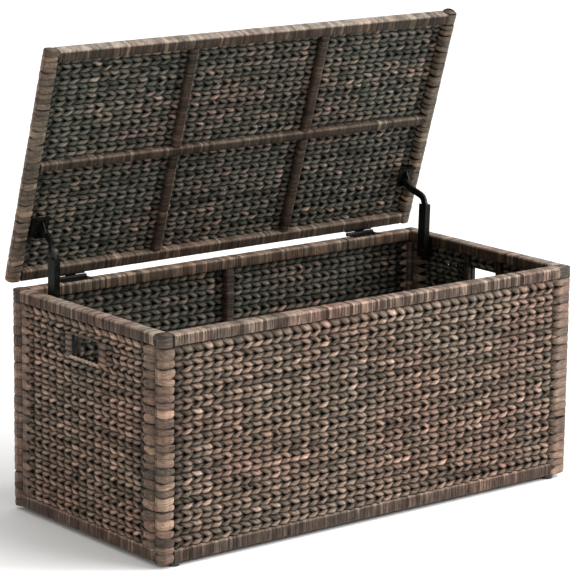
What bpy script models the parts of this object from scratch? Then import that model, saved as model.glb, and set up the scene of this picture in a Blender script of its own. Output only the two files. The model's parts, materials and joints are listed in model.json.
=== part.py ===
"""Wicker storage trunk: framed woven panels, hinged lid held by two folding stays.

Metres. +X runs along the trunk, -Y is its front and +Z is up. The trunk stands on Z = 0 with
the lid raised against its stays.
"""

import math

import bmesh
import bpy
from mathutils import Matrix, Vector

# Overall sizes
LENGTH = 0.900
DEPTH = 0.430
FOOT_HEIGHT = 0.008
RIM_Z = 0.387  # top of the four upper rails
BODY_Y = -0.01285  # middle of the body, so the open lid's overhang is shared front and back
GAP = 0.0003  # between pieces that touch

# Framed panels of the body
WALL = 0.025  # thickness of a framed panel
POST = 0.024
TOP_RAIL = 0.020
BOTTOM_RAIL = 0.022
END_STILE = 0.019
CENTRE_STILE = 0.017
SLOT_STILE = (0.012, 0.009)  # width, depth
WEAVE_THICK = 0.0090
WEAVE_INSET = 0.0010  # woven field behind the outer face of its frame
ROW_PITCH = 0.0098
ROW_RELIEF = 0.0012

# Handle openings in the two ends
SLOT_WIDTH = 0.072
SLOT_HEIGHT = 0.036
SLOT_TOP = RIM_Z - 0.045

# Base
BASE_THICK = 0.006
BASE_BAR = (0.020, 0.012)  # width, height
BASE_BAR_X = 0.230
FOOT_RADIUS = 0.0095
FOOT_FROM_END = 0.033

# Lid, described closed and measured from the hinge pins
OPEN_ANGLE = math.radians(73.35)
PIN_BEHIND = 0.0040
PIN_ABOVE = 0.0022
LID_DEPTH = 0.425  # a little less than the body, so its front edge clears the rim
LID_THICK = 0.0225
LID_SIDE_RAIL = 0.024
LID_RAIL = 0.020
LID_BATTEN = 0.016
LID_THIRD = 0.144  # cross battens either side of the middle

# Butt hinges
HINGE_X = 0.325
HINGE_WIDTH = 0.062
HINGE_LEAF = 0.0230
LEAF_THICK = 0.0016
LEAF_CLEAR = 0.0042  # the lid's leaf starts above the box leaf's barrels
KNUCKLE_RADIUS = 0.0035
KNUCKLE_THIRD = 0.0206
PIN_RADIUS = 0.00155
PIN_HOLE = 0.00165

# Folding stays, measured from the hinge pins: Y back, Z up
STAY_PIVOT = (-0.0774, -0.0307)
STAY_LEAN = math.radians(1.5)
CHANNEL_BELOW = 0.012
CHANNEL_ABOVE = 0.088
CHANNEL_DEPTH = 0.019
CHANNEL_WIDTH = 0.0116
CHANNEL_WALL = 0.0014
CHANNEL_CENTRE = 0.0110  # from the inside of the end panel
SLIDER_RADIUS = 0.0064  # the arm's end slides inside the channel
ARM_ALONG_LID = 0.100
ARM_BELOW_LID = 0.009
ARM_PATH = ((0.0, 0.0), (-0.0120, -0.0085), (-0.0240, -0.0155), (-0.0345, -0.0230),
            (-0.0408, -0.0320), (-0.0433, -0.0420), (-0.0434, -0.0516))
ARM_JOGGLE = (0.0115, 0.0115, 0.0060, 0.0, 0.0, 0.0, 0.0)  # further from the end panel
ARM_HALF = 0.0062
ARM_THICK = 0.0046
EYE_RADIUS = 0.0062
RIVET_RADIUS = 0.0025
BRACKET_THICK = 0.0018
BRACKET_REACH = 0.0330  # how far the lid bracket reaches in from the end panel
BRACKET_UP = 0.0120  # its side lies against the inside of the lid's end rail
FLANGE_DOWN = 0.0085
STUD_RADIUS = 0.0028

PIN_Y = BODY_Y + DEPTH / 2 + PIN_BEHIND
PIN_Z = RIM_Z + PIN_ABOVE
PIN = Vector((0.0, PIN_Y, PIN_Z))

for old in list(bpy.data.objects):
    bpy.data.objects.remove(old)

TRUNK = bpy.data.collections.new("wicker_storage_trunk")
CUTTERS = bpy.data.collections.new("cutters")
for each in (TRUNK, CUTTERS):
    bpy.context.scene.collection.children.link(each)


def material(name, colour, roughness, metallic=0.0):
    made = bpy.data.materials.new(name)
    made.use_nodes = True
    shader = made.node_tree.nodes["Principled BSDF"]
    shader.inputs["Base Color"].default_value = (*colour, 1.0)
    shader.inputs["Roughness"].default_value = roughness
    shader.inputs["Metallic"].default_value = metallic
    made.diffuse_color = (*colour, 1.0)
    return made


WOVEN = material("woven_hyacinth", (0.118, 0.084, 0.062), 0.62)
WRAPPED = material("wrapped_rail", (0.132, 0.083, 0.056), 0.55)
BOARD = material("base_board", (0.070, 0.048, 0.035), 0.75)
FOOT = material("foot_plastic", (0.012, 0.012, 0.012), 0.45)
BLACK_STEEL = material("black_steel", (0.018, 0.017, 0.017), 0.38, 0.85)


def add_object(name, mesh, look, collection=TRUNK, at=(0, 0, 0), turn=(0, 0, 0)):
    placed = bpy.data.objects.new(name, mesh)
    placed.location = at
    placed.rotation_euler = turn
    collection.objects.link(placed)
    if look:
        mesh.materials.append(look)
    return placed


def finish(name, bm):
    bmesh.ops.recalc_face_normals(bm, faces=bm.faces)
    mesh = bpy.data.meshes.new(name)
    bm.to_mesh(mesh)
    bm.free()
    return mesh


def box_mesh(name, low, high):
    bm = bmesh.new()
    bmesh.ops.create_cube(bm, size=1.0)
    size = Vector(high) - Vector(low)
    middle = (Vector(high) + Vector(low)) / 2
    bmesh.ops.scale(bm, vec=size, verts=bm.verts)
    bmesh.ops.translate(bm, vec=middle, verts=bm.verts)
    return finish(name, bm)


def soften(thing, width, segments=2):
    bevel = thing.modifiers.new("soft_edges", "BEVEL")
    bevel.width = width
    bevel.segments = segments
    bevel.limit_method = "ANGLE"
    bevel.angle_limit = math.radians(40)


def bar(name, low, high, look=WRAPPED, round_off=0.0028, at=(0, 0, 0), turn=(0, 0, 0)):
    """A straight wrapped rail, given by its two corners."""
    made = add_object(name, box_mesh(name, low, high), look, at=at, turn=turn)
    soften(made, round_off)
    return made


def prism(name, outline, start, end, axis):
    """A closed outline pushed along an axis. It is given in the other two axes, in order."""
    places = [i for i in range(3) if i != axis]
    bm = bmesh.new()
    corners = []
    for point in outline:
        spot = [0.0, 0.0, 0.0]
        spot[places[0]], spot[places[1]] = point
        spot[axis] = start
        corners.append(bm.verts.new(spot))
    face = bm.faces.new(corners)
    grown = bmesh.ops.extrude_face_region(bm, geom=[face])
    moved = [item for item in grown["geom"] if isinstance(item, bmesh.types.BMVert)]
    push = [0.0, 0.0, 0.0]
    push[axis] = end - start
    bmesh.ops.translate(bm, vec=push, verts=moved)
    return finish(name, bm)


def arc(centre, radius, first, last, steps):
    """Points on an arc between two angles in degrees."""
    turns = [math.radians(first + (last - first) * i / steps) for i in range(steps + 1)]
    return [(centre[0] + radius * math.cos(t), centre[1] + radius * math.sin(t)) for t in turns]


def circle(centre, radius, steps=24):
    return arc(centre, radius, 0, 360, steps)[:-1]


def helper(name, mesh, at=(0, 0, 0), turn=(0, 0, 0)):
    made = add_object(name, mesh, None, CUTTERS, at, turn)
    made.hide_render = True
    made.display_type = "WIRE"
    return made


def boolean(thing, other, operation):
    made = thing.modifiers.new(other.name, "BOOLEAN")
    made.operation = operation
    made.solver = "EXACT"
    made.object = other


def row_profile(thick, rise):
    """Outline of a woven field across its rows: both faces swell at every row."""
    rows = round(rise / ROW_PITCH)
    pitch = rise / rows
    inner = thick / 2 - ROW_RELIEF
    face = [(inner, 0.0)]
    for row in range(rows):
        for share in (0.25, 0.5, 0.75):
            swell = inner + ROW_RELIEF * math.sin(math.pi * share)
            face.append((swell, (row + share) * pitch))
        face.append((inner, (row + 1) * pitch))
    return face + [(-across, up) for across, up in reversed(face)]


def woven_field(name, run, rise, at, turn=(0, 0, 0), shift=(0, 0, 0)):
    """Rows run along local X, are stacked along local Z, and the field is thin along local Y."""
    outline = [(across + shift[1], up + shift[2]) for across, up in row_profile(WEAVE_THICK, rise)]
    mesh = prism(name, outline, shift[0] - run / 2, shift[0] + run / 2, 0)
    return add_object(name, mesh, WOVEN, at=at, turn=turn)


def body_box(low, high):
    """Corners given from the body's middle in Y."""
    return (low[0], low[1] + BODY_Y, low[2]), (high[0], high[1] + BODY_Y, high[2])


HALF_L = LENGTH / 2
HALF_D = DEPTH / 2
PANEL_LOW = FOOT_HEIGHT
FIELD_LOW = PANEL_LOW + BOTTOM_RAIL + GAP
FIELD_HIGH = RIM_Z - TOP_RAIL - GAP
FIELD_RISE = FIELD_HIGH - FIELD_LOW
OUTER_FACE = WEAVE_INSET + WEAVE_THICK / 2  # middle of a woven field behind the outer face
STILE_BACK = WEAVE_INSET + WEAVE_THICK + GAP  # where a stile behind the weave starts

# Front and back panels run the full length
for side, sign in (("front", -1), ("back", 1)):
    outer = sign * HALF_D
    inner = sign * (HALF_D - WALL)
    y_low, y_high = min(outer, inner), max(outer, inner)
    for end, way in (("left", -1), ("right", 1)):
        xs = sorted((way * HALF_L, way * (HALF_L - POST)))
        low, high = body_box((xs[0], y_low, PANEL_LOW), (xs[1], y_high, RIM_Z))
        bar(f"{side}_{end}_post", low, high)
    reach = HALF_L - POST - GAP
    for level, z_low, z_high in (
        ("bottom", PANEL_LOW, PANEL_LOW + BOTTOM_RAIL),
        ("top", RIM_Z - TOP_RAIL, RIM_Z),
    ):
        low, high = body_box((-reach, y_low, z_low), (reach, y_high, z_high))
        bar(f"{side}_{level}_rail", low, high)
    woven_field(
        f"{side}_weave",
        2 * reach,
        FIELD_RISE,
        (0, BODY_Y + sign * (HALF_D - OUTER_FACE), FIELD_LOW),
    )
    ys = sorted((sign * (HALF_D - STILE_BACK), inner))
    half = CENTRE_STILE / 2
    low, high = body_box((-half, ys[0], FIELD_LOW), (half, ys[1], FIELD_HIGH))
    bar(f"{side}_centre_stile", low, high, round_off=0.002)

# End panels stand between them
END_REACH = HALF_D - WALL - GAP
SLOT_MIDDLE = SLOT_TOP - SLOT_HEIGHT / 2
for end, way in (("left", -1), ("right", 1)):
    xs = sorted((way * HALF_L, way * (HALF_L - WALL)))
    for level, z_low, z_high in (
        ("bottom", PANEL_LOW, PANEL_LOW + BOTTOM_RAIL),
        ("top", RIM_Z - TOP_RAIL, RIM_Z),
    ):
        low, high = body_box((xs[0], -END_REACH, z_low), (xs[1], END_REACH, z_high))
        bar(f"{end}_{level}_rail", low, high)
    stile_xs = sorted((way * (HALF_L - STILE_BACK), way * (HALF_L - STILE_BACK - SLOT_STILE[1])))
    for place, sign in (("front", -1), ("back", 1)):
        ys = sorted((sign * END_REACH, sign * (END_REACH - END_STILE)))
        low, high = body_box((xs[0], ys[0], FIELD_LOW), (xs[1], ys[1], FIELD_HIGH))
        bar(f"{end}_{place}_stile", low, high)
        ys = sorted((sign * SLOT_WIDTH / 2, sign * (SLOT_WIDTH / 2 + SLOT_STILE[0])))
        low, high = body_box((stile_xs[0], ys[0], FIELD_LOW), (stile_xs[1], ys[1], FIELD_HIGH))
        bar(f"{end}_slot_{place}_stile", low, high, round_off=0.002)
    field = woven_field(
        f"{end}_weave",
        2 * (END_REACH - END_STILE - GAP),
        FIELD_RISE,
        (way * (HALF_L - OUTER_FACE), BODY_Y, FIELD_LOW),
        turn=(0, 0, math.radians(90)),
    )
    middle_x = way * (HALF_L - WALL / 2)
    low, high = body_box(
        (middle_x - 0.03, -SLOT_WIDTH / 2, SLOT_MIDDLE - SLOT_HEIGHT / 2),
        (middle_x + 0.03, SLOT_WIDTH / 2, SLOT_MIDDLE + SLOT_HEIGHT / 2),
    )
    cutter = helper(f"{end}_slot_cutter", box_mesh(f"{end}_slot_cutter", low, high))
    boolean(field, cutter, "DIFFERENCE")

# Base board on two bars, and four feet under the long bottom rails
BAR_LOW = PANEL_LOW + 0.002
BAR_HIGH = BAR_LOW + BASE_BAR[1]
INSIDE = HALF_D - WALL - GAP
for end, way in (("left", -1), ("right", 1)):
    middle_x = way * BASE_BAR_X
    half = BASE_BAR[0] / 2
    low, high = body_box((middle_x - half, -INSIDE, BAR_LOW), (middle_x + half, INSIDE, BAR_HIGH))
    bar(f"base_{end}_bar", low, high, BOARD, 0.0015)
across = HALF_L - WALL - GAP
low, high = body_box(
    (-across, -INSIDE, BAR_HIGH + GAP), (across, INSIDE, BAR_HIGH + GAP + BASE_THICK)
)
bar("base_board", low, high, BOARD, 0.0012)

for side, sign in (("front", -1), ("back", 1)):
    for end, way in (("left", -1), ("right", 1)):
        name = f"{side}_{end}_foot"
        outline = [(0.0, FOOT_HEIGHT - GAP), (FOOT_RADIUS, FOOT_HEIGHT - GAP)]
        outline += arc((FOOT_RADIUS - 0.002, 0.002), 0.002, 0, -90, 3)
        outline.append((0.0, 0.0))
        bm = bmesh.new()
        line = [bm.verts.new((radius, 0.0, up)) for radius, up in outline]
        edges = [bm.edges.new(pair) for pair in zip(line, line[1:])]
        bmesh.ops.spin(
            bm, geom=line + edges, cent=(0, 0, 0), axis=(0, 0, 1), angle=math.tau, steps=28
        )
        bmesh.ops.remove_doubles(bm, verts=bm.verts, dist=1e-6)
        place = (way * (HALF_L - FOOT_FROM_END), BODY_Y + sign * (HALF_D - WALL / 2), 0)
        add_object(name, finish(name, bm), FOOT, at=place)


def lid_bar(name, x_low, x_high, forward_low, forward_high, up_low, up_high, round_off=0.0028):
    """A lid piece given closed, from the hinge line, then swung open with the lid."""
    low = (x_low, -forward_high, up_low)
    high = (x_high, -forward_low, up_high)
    return bar(name, low, high, WRAPPED, round_off, PIN, (-OPEN_ANGLE, 0, 0))


LID_BACK = PIN_BEHIND
LID_FRONT = PIN_BEHIND + LID_DEPTH
LID_LOW = PIN_ABOVE
LID_HIGH = PIN_ABOVE + LID_THICK
LID_REACH = HALF_L - LID_SIDE_RAIL - GAP
LID_MIDDLE = (LID_BACK + LID_FRONT) / 2
BATTEN_HIGH = LID_HIGH - STILE_BACK

for end, way in (("left", -1), ("right", 1)):
    xs = sorted((way * HALF_L, way * (HALF_L - LID_SIDE_RAIL)))
    lid_bar(f"lid_{end}_rail", xs[0], xs[1], LID_BACK, LID_FRONT, LID_LOW, LID_HIGH)
lid_bar("lid_back_rail", -LID_REACH, LID_REACH, LID_BACK, LID_BACK + LID_RAIL, LID_LOW, LID_HIGH)
lid_bar(
    "lid_front_rail", -LID_REACH, LID_REACH, LID_FRONT - LID_RAIL, LID_FRONT, LID_LOW, LID_HIGH
)
lid_bar(
    "lid_middle_batten",
    -LID_REACH,
    LID_REACH,
    LID_MIDDLE - LID_BATTEN / 2,
    LID_MIDDLE + LID_BATTEN / 2,
    LID_LOW,
    BATTEN_HIGH,
    0.002,
)
for place, start, stop in (
    ("back", LID_BACK + LID_RAIL + GAP, LID_MIDDLE - LID_BATTEN / 2 - GAP),
    ("front", LID_MIDDLE + LID_BATTEN / 2 + GAP, LID_FRONT - LID_RAIL - GAP),
):
    for end, way in (("left", -1), ("right", 1)):
        middle_x = way * LID_THIRD
        lid_bar(
            f"lid_{place}_{end}_batten",
            middle_x - LID_BATTEN / 2,
            middle_x + LID_BATTEN / 2,
            start,
            stop,
            LID_LOW,
            BATTEN_HIGH,
            0.002,
        )
woven_field(
    "lid_weave",
    2 * LID_REACH,
    LID_DEPTH - 2 * (LID_RAIL + GAP),
    PIN,
    turn=(math.pi / 2 - OPEN_ANGLE, 0, 0),
    shift=(0, LID_HIGH - OUTER_FACE, LID_BACK + LID_RAIL + GAP),
)


def hinge_leaf(name, middle_x, plate, web, turn, knuckles):
    """One leaf, the knuckle barrels it carries, and the hole through them.

    plate and web are the two (Y, Z) corners of the leaf and of what joins it to a barrel.
    """
    (y_low, z_low), (y_high, z_high) = plate
    half = HINGE_WIDTH / 2
    flat = box_mesh(name, (-half, y_low, z_low), (half, y_high, z_high))
    leaf = add_object(name, flat, BLACK_STEEL, at=PIN + Vector((middle_x, 0, 0)), turn=turn)
    for index, (start, end) in enumerate(knuckles):
        barrel = prism(name, circle((0, 0), KNUCKLE_RADIUS), start, end, 0)
        barrel_tool = helper(f"{name}_barrel_{index}", barrel, leaf.location, turn)
        boolean(leaf, barrel_tool, "UNION")
        joined = box_mesh(name, (start, *web[0]), (end, *web[1]))
        web_tool = helper(f"{name}_web_{index}", joined, leaf.location, turn)
        boolean(leaf, web_tool, "UNION")
    hole = prism(name, circle((0, 0), PIN_HOLE), -HINGE_WIDTH, HINGE_WIDTH, 0)
    boolean(leaf, helper(f"{name}_hole", hole, leaf.location, turn), "DIFFERENCE")


def lathe_x(name, profile, steps=24):
    """A turned piece about local X. The profile gives (along, radius) from end to end."""
    bm = bmesh.new()
    line = [bm.verts.new((along, radius, 0.0)) for along, radius in profile]
    edges = [bm.edges.new(pair) for pair in zip(line, line[1:])]
    bmesh.ops.spin(bm, geom=line + edges, axis=(1, 0, 0), angle=math.tau, steps=steps)
    bmesh.ops.remove_doubles(bm, verts=bm.verts, dist=1e-6)
    return finish(name, bm)


HALF_KNUCKLE = KNUCKLE_THIRD / 2
for end, way in (("left", -1), ("right", 1)):
    outer_knuckles = (
        (-HINGE_WIDTH / 2, -HALF_KNUCKLE - GAP),
        (HALF_KNUCKLE + GAP, HINGE_WIDTH / 2),
    )
    middle_x = way * HINGE_X
    bottom = -PIN_ABOVE + GAP
    front_edge = -PIN_BEHIND - 0.0002
    hinge_leaf(
        f"{end}_hinge_box_leaf",
        middle_x,
        ((-HINGE_LEAF, bottom), (front_edge, bottom + LEAF_THICK)),
        ((front_edge - 0.002, bottom), (-0.0005, bottom + LEAF_THICK)),
        (0, 0, 0),
        outer_knuckles,
    )
    back = -PIN_BEHIND + GAP
    hinge_leaf(
        f"{end}_hinge_lid_leaf",
        middle_x,
        ((back, LEAF_CLEAR), (back + LEAF_THICK, LID_HIGH - 0.002)),
        ((back, 0.0), (back + LEAF_THICK, LEAF_CLEAR + 0.002)),
        (-OPEN_ANGLE, 0, 0),
        ((-HALF_KNUCKLE, HALF_KNUCKLE),),
    )
    half = HINGE_WIDTH / 2 + 0.0004
    profile = [(-half - 0.0012, 0.0), (-half - 0.0010, 0.0017), (-half, 0.0026), (-half, PIN_RADIUS)]
    profile += [(-along, radius) for along, radius in reversed(profile)]
    name = f"{end}_hinge_pin"
    add_object(name, lathe_x(name, profile), BLACK_STEEL, at=PIN + Vector((middle_x, 0, 0)))


def smoothed(path, shifts, steps=3):
    """More stations along a path, on a Catmull-Rom curve through the given ones."""
    stations = [Vector((shift, *point)) for point, shift in zip(path, shifts)]
    stations = [stations[0] * 2 - stations[1]] + stations + [stations[-1] * 2 - stations[-2]]
    curve = []
    for index in range(1, len(stations) - 2):
        before, first, second, after = stations[index - 1 : index + 3]
        for step in range(steps):
            t = step / steps
            curve.append(
                (
                    first * 2
                    + (second - before) * t
                    + (before * 2 - first * 5 + second * 4 - after) * t**2
                    + (first * 3 - before - second * 3 + after) * t**3
                )
                / 2
            )
    curve.append(stations[-2])
    return [(point.y, point.z) for point in curve], [point.x for point in curve]


def flat_bar(name, path, shifts, half, thick):
    """A flat bar that follows a (Y, Z) path, each station shifted along X by its own amount."""
    points = [Vector(point) for point in path]
    mesh = bpy.data.meshes.new(name)
    built = bmesh.new()
    rings = []
    for index, (point, shift) in enumerate(zip(points, shifts)):
        before = points[max(index - 1, 0)]
        after = points[min(index + 1, len(points) - 1)]
        along = (after - before).normalized()
        normal = Vector((-along.y, along.x)) * half
        corners = []
        for side, face in ((1, -1), (1, 1), (-1, 1), (-1, -1)):
            at = point + normal * side
            corners.append(built.verts.new((shift + face * thick / 2, at.x, at.y)))
        rings.append(corners)
    for first, second in zip(rings, rings[1:]):
        for index in range(4):
            after = (index + 1) % 4
            built.faces.new((first[index], first[after], second[after], second[index]))
    built.faces.new(rings[0])
    built.faces.new(rings[-1])
    bmesh.ops.triangulate(built, faces=built.faces[:])
    bmesh.ops.recalc_face_normals(built, faces=built.faces[:])
    built.to_mesh(mesh)
    built.free()
    return mesh


def stay(end, way):
    """One folding stay: box bracket with its stud, channel, curved arm and lid bracket."""
    face = way * (HALF_L - WALL)
    inward = -way
    pivot = Vector((0, PIN_Y + STAY_PIVOT[0], PIN_Z + STAY_PIVOT[1]))

    def reach(distance):
        return inward * distance

    def span(first, last):
        return sorted((reach(first), reach(last)))

    # Bracket on the inside of the end panel's top rail, with the stud the channel turns on
    name = f"{end}_stay_box_bracket"
    top = RIM_Z - 0.003 - pivot.z
    outline = [(-0.013, top), (-0.013, top - 0.017), (-0.0085, -0.004)]
    outline += arc((0, 0), 0.0090, 205, 335, 8)
    outline += [(0.0085, -0.004), (0.013, top - 0.017), (0.013, top)]
    low, high = span(GAP, GAP + 0.002)
    bracket = add_object(
        name, prism(name, outline, low, high, 0), BLACK_STEEL, at=(face, pivot.y, pivot.z)
    )
    profile = [
        (reach(0.0012), 0.0),
        (reach(0.0012), 0.0050),
        (reach(0.0050), 0.0050),
        (reach(0.0050), STUD_RADIUS),
        (reach(0.0171), STUD_RADIUS),
        (reach(0.0171), 0.0050),
        (reach(0.0183), 0.0046),
        (reach(0.0192), 0.0030),
        (reach(0.0192), 0.0),
    ]
    stud = helper(f"{name}_stud", lathe_x(name, profile), bracket.location)
    boolean(bracket, stud, "UNION")

    # Channel, open towards the back
    name = f"{end}_stay_channel"
    half_x = CHANNEL_WIDTH / 2
    half_y = CHANNEL_DEPTH / 2
    low = (-half_x, -half_y, -CHANNEL_BELOW)
    high = (half_x, half_y, CHANNEL_ABOVE)
    place = (face + reach(CHANNEL_CENTRE), pivot.y, pivot.z)
    lean = (STAY_LEAN, 0, 0)
    channel = add_object(name, box_mesh(name, low, high), BLACK_STEEL, at=place, turn=lean)
    low = (-half_x + CHANNEL_WALL, -half_y + CHANNEL_WALL, -CHANNEL_BELOW - 0.01)
    high = (half_x - CHANNEL_WALL, half_y + 0.01, CHANNEL_ABOVE + 0.01)
    boolean(channel, helper(f"{name}_hollow", box_mesh(name, low, high), place, lean), "DIFFERENCE")
    cut = prism(name, circle((0, 0), STUD_RADIUS + GAP), -0.02, 0.02, 0)
    boolean(channel, helper(f"{name}_pivot_hole", cut, place, lean), "DIFFERENCE")

    # Joggled arm with an eye on the lid rivet and a slider inside the channel
    name = f"{end}_stay_arm"
    swing = Vector((0, -ARM_ALONG_LID, -ARM_BELOW_LID))
    swing.rotate(Matrix.Rotation(-OPEN_ANGLE, 3, "X"))
    place = Vector((face + reach(CHANNEL_CENTRE), PIN_Y, PIN_Z)) + swing
    half = ARM_THICK / 2
    path, shifts = smoothed(ARM_PATH, [reach(shift) for shift in ARM_JOGGLE])
    bar_mesh = flat_bar(name, path, shifts, ARM_HALF, ARM_THICK)
    arm = add_object(name, bar_mesh, BLACK_STEEL, at=place)
    joggle = ARM_JOGGLE[0]
    low, high = span(joggle - half, joggle + half)
    eye = prism(name, circle((0, 0), EYE_RADIUS), low, high, 0)
    boolean(arm, helper(f"{name}_eye", eye, place), "UNION")
    slider_half = half_x - CHANNEL_WALL - 2 * GAP
    slider = prism(name, circle(ARM_PATH[-1], SLIDER_RADIUS), -slider_half, slider_half, 0)
    boolean(arm, helper(f"{name}_slider", slider, place), "UNION")
    hole = prism(name, circle((0, 0), RIVET_RADIUS + GAP), -0.02, 0.02, 0)
    boolean(arm, helper(f"{name}_eye_hole", hole, place), "DIFFERENCE")

    # Flanged bracket beside the lid's end rail and the rivet through its ear and the arm
    name = f"{end}_stay_lid_bracket"
    lid_at = Vector((face, PIN_Y, PIN_Z))
    lid_turn = (-OPEN_ANGLE, 0, 0)
    plate_top = PIN_ABOVE - GAP
    plate_low = plate_top - BRACKET_THICK
    plate_front = -ARM_ALONG_LID - 0.0250
    plate_back = -ARM_ALONG_LID + 0.0100
    eye_face = CHANNEL_CENTRE + ARM_JOGGLE[0] - ARM_THICK / 2
    low, high = span(eye_face - GAP - 0.0022, eye_face - GAP)
    outline = [
        (-ARM_ALONG_LID - 0.0185, plate_top),
        (-ARM_ALONG_LID - 0.0185, plate_top - 0.0050),
        (-ARM_ALONG_LID - 0.0075, -ARM_BELOW_LID - 0.0035),
    ]
    outline += arc((-ARM_ALONG_LID, -ARM_BELOW_LID), 0.0078, 215, 325, 8)
    outline += [
        (-ARM_ALONG_LID + 0.0075, -ARM_BELOW_LID - 0.0035),
        (plate_back, plate_top - 0.0050),
        (plate_back, plate_top),
    ]
    bracket = add_object(
        name, prism(name, outline, low, high, 0), BLACK_STEEL, at=lid_at, turn=lid_turn
    )
    side_low, side_high = span(-0.0007, 0.0011)
    plate_x = span(-0.0007, BRACKET_REACH)
    flange_x = span(0.0031, BRACKET_REACH)
    bits = (
        ("plate", plate_x, plate_front, plate_back, plate_low, plate_top),
        ("side", (side_low, side_high), plate_front, plate_back, plate_low, BRACKET_UP),
        ("far", flange_x, plate_front, plate_front + BRACKET_THICK, -FLANGE_DOWN, plate_top),
        ("near", flange_x, plate_back - BRACKET_THICK, plate_back, -FLANGE_DOWN, plate_top),
    )
    for label, (low, high), y_low, y_high, z_low, z_high in bits:
        bit = box_mesh(name, (low, y_low, z_low), (high, y_high, z_high))
        boolean(bracket, helper(f"{name}_{label}", bit, lid_at, lid_turn), "UNION")
    pivot_at = lid_at + swing
    hole = prism(name, circle((0, 0), RIVET_RADIUS + GAP), -0.03, 0.03, 0)
    boolean(bracket, helper(f"{name}_hole", hole, pivot_at, lid_turn), "DIFFERENCE")
    name = f"{end}_stay_lid_rivet"
    ear_side = eye_face - GAP - 0.0022 - GAP
    arm_side = eye_face + ARM_THICK + GAP
    profile = [
        (reach(ear_side - 0.0015), 0.0),
        (reach(ear_side - 0.0013), 0.0034),
        (reach(ear_side), 0.0046),
        (reach(ear_side), RIVET_RADIUS),
        (reach(arm_side), RIVET_RADIUS),
        (reach(arm_side), 0.0046),
        (reach(arm_side + 0.0013), 0.0034),
        (reach(arm_side + 0.0016), 0.0),
    ]
    add_object(name, lathe_x(name, profile), BLACK_STEEL, at=pivot_at, turn=lid_turn)


for side_name, side_way in (("left", -1), ("right", 1)):
    stay(side_name, side_way)
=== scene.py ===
import json
import math

import bpy
import numpy as np
from mathutils import Matrix, Vector


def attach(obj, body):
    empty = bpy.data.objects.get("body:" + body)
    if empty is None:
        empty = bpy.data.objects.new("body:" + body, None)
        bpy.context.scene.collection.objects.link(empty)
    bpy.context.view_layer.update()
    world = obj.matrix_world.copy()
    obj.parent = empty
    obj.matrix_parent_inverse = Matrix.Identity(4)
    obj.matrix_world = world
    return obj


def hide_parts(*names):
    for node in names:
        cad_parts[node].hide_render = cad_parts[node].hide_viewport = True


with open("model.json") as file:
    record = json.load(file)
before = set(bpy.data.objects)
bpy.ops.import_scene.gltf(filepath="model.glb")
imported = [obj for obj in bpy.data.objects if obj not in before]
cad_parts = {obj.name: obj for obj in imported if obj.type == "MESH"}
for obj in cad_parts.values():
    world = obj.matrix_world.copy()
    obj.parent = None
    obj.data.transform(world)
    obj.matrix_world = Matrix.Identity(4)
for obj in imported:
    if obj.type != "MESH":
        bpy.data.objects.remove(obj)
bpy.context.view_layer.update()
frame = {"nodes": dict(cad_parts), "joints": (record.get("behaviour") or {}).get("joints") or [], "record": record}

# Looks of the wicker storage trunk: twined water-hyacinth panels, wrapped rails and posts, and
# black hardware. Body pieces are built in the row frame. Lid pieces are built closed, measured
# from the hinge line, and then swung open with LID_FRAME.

DRAW = np.random.default_rng(41)

# Weave
ROW_PITCH = 0.0103  # height of a twined row
LID_ROW_PITCH = 0.0096
END_ROW_PITCH = 0.0096
STITCH = 0.0206  # one stitch along a row
END_STITCH = 0.0216
END_REACH = 0.86  # the end panels are woven flatter
BORDER_ROW = 1.35  # the row under a top rail, as a share of a plain row
RINGS = 8  # per stitch
SECTION = np.radians((0, 20, 48, 90, 132, 160, 180, 200, 228, 270, 312, 340))  # round a strand
SIDES = len(SECTION)
AROUND = np.append(SECTION, math.tau)[None, :] / math.tau  # share of the way round
STRAND_SWING = 0.0027  # strand's middle in front of or behind the panel's middle
STRAND_RISE = 0.0027  # and above or below the row's middle where two strands cross
STRAND_HALF = (0.0034, 0.0058)  # half height where strands cross and at the middle of a stitch
STRAND_DEEP = (0.0019, 0.0031)  # half thickness in the same two places
STRAND_PLUMP = (0.13, 0.7, 1.25)  # random share of a stitch's height: spread, least and most
STRAND_PUSH = 0.0004  # random shift of a stitch out of the panel
STRAND_TILT = 0.0011  # random lean of a stitch
ROW_WOBBLE = 0.0006  # random shift of a row up and down
PANEL_DRIFT = 0.0006  # random shift of the stitches along a panel's rows
ROW_DRIFT = 0.0005  # and along one row
STRAND_TONE = (0.48, 0.55, 0.11, 0.05)  # middle, and spread by stitch, along a row, by strand
END_FADE = 0.30  # takes the tone down in the last stitches of a row, a painted shade beside the bars that rows end at
STAKE_HALF = (0.0030, 0.0006)
TUCK = 0.003  # strand ends run this far into posts and stiles

# Posts and stiles
LOOP_STRIP = (0.0115, 0.0185)
STILE_STRIP = (0.0125, 0.0185)
LID_STRIP = (0.0080, 0.0135)
LOOP_RISE = (0.0016, 0.0032, 0.0018)  # how far a loop stands out near and far, and reaches beyond
LID_RISE = (0.0012, 0.0022, 0.0012)
LOOP_SINK = 0.0026  # loops are laid round an outline this far inside the bar's faces
LOOP_CORNER = 0.006
CORE_ROUND = 0.004
CORE_END = 0.001  # a dark core, painted shade in the gaps between loops, is lighter on its two ends, which show
# the core's middle has a darker tone, low painted light and more of the darker inner colour: painted shade between
# the loops
CORE_TONE = np.array((0.5, 0.1, 0.5))
CORE_PAINTED_LIGHT = np.array((0.8, 0.12, 0.12, 0.8))[:, None]
CORE_INNER = np.array((0.3, 0.8, 0.8, 0.3))[:, None]
WIDE_POST = "front_right_post"
POST_OVER = 0.0135  # the wide post's loops reach this far over the weave
STILE_OVER = 0.009  # end stiles' loops reach this far over the weave
CAP_WRAP = 0.021  # finely wound top of a post
CAP_STRIP = (0.005, 0.009)

# Wrapping
FINE_STRIP = (0.0030, 0.0095)
FINE_LAP = 0.0006
CORNER = 0.0040
COARSE_CORNER = 0.0065
RAIL_END = 0.011  # length of a rail's ends, which can have tones of their own

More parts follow.
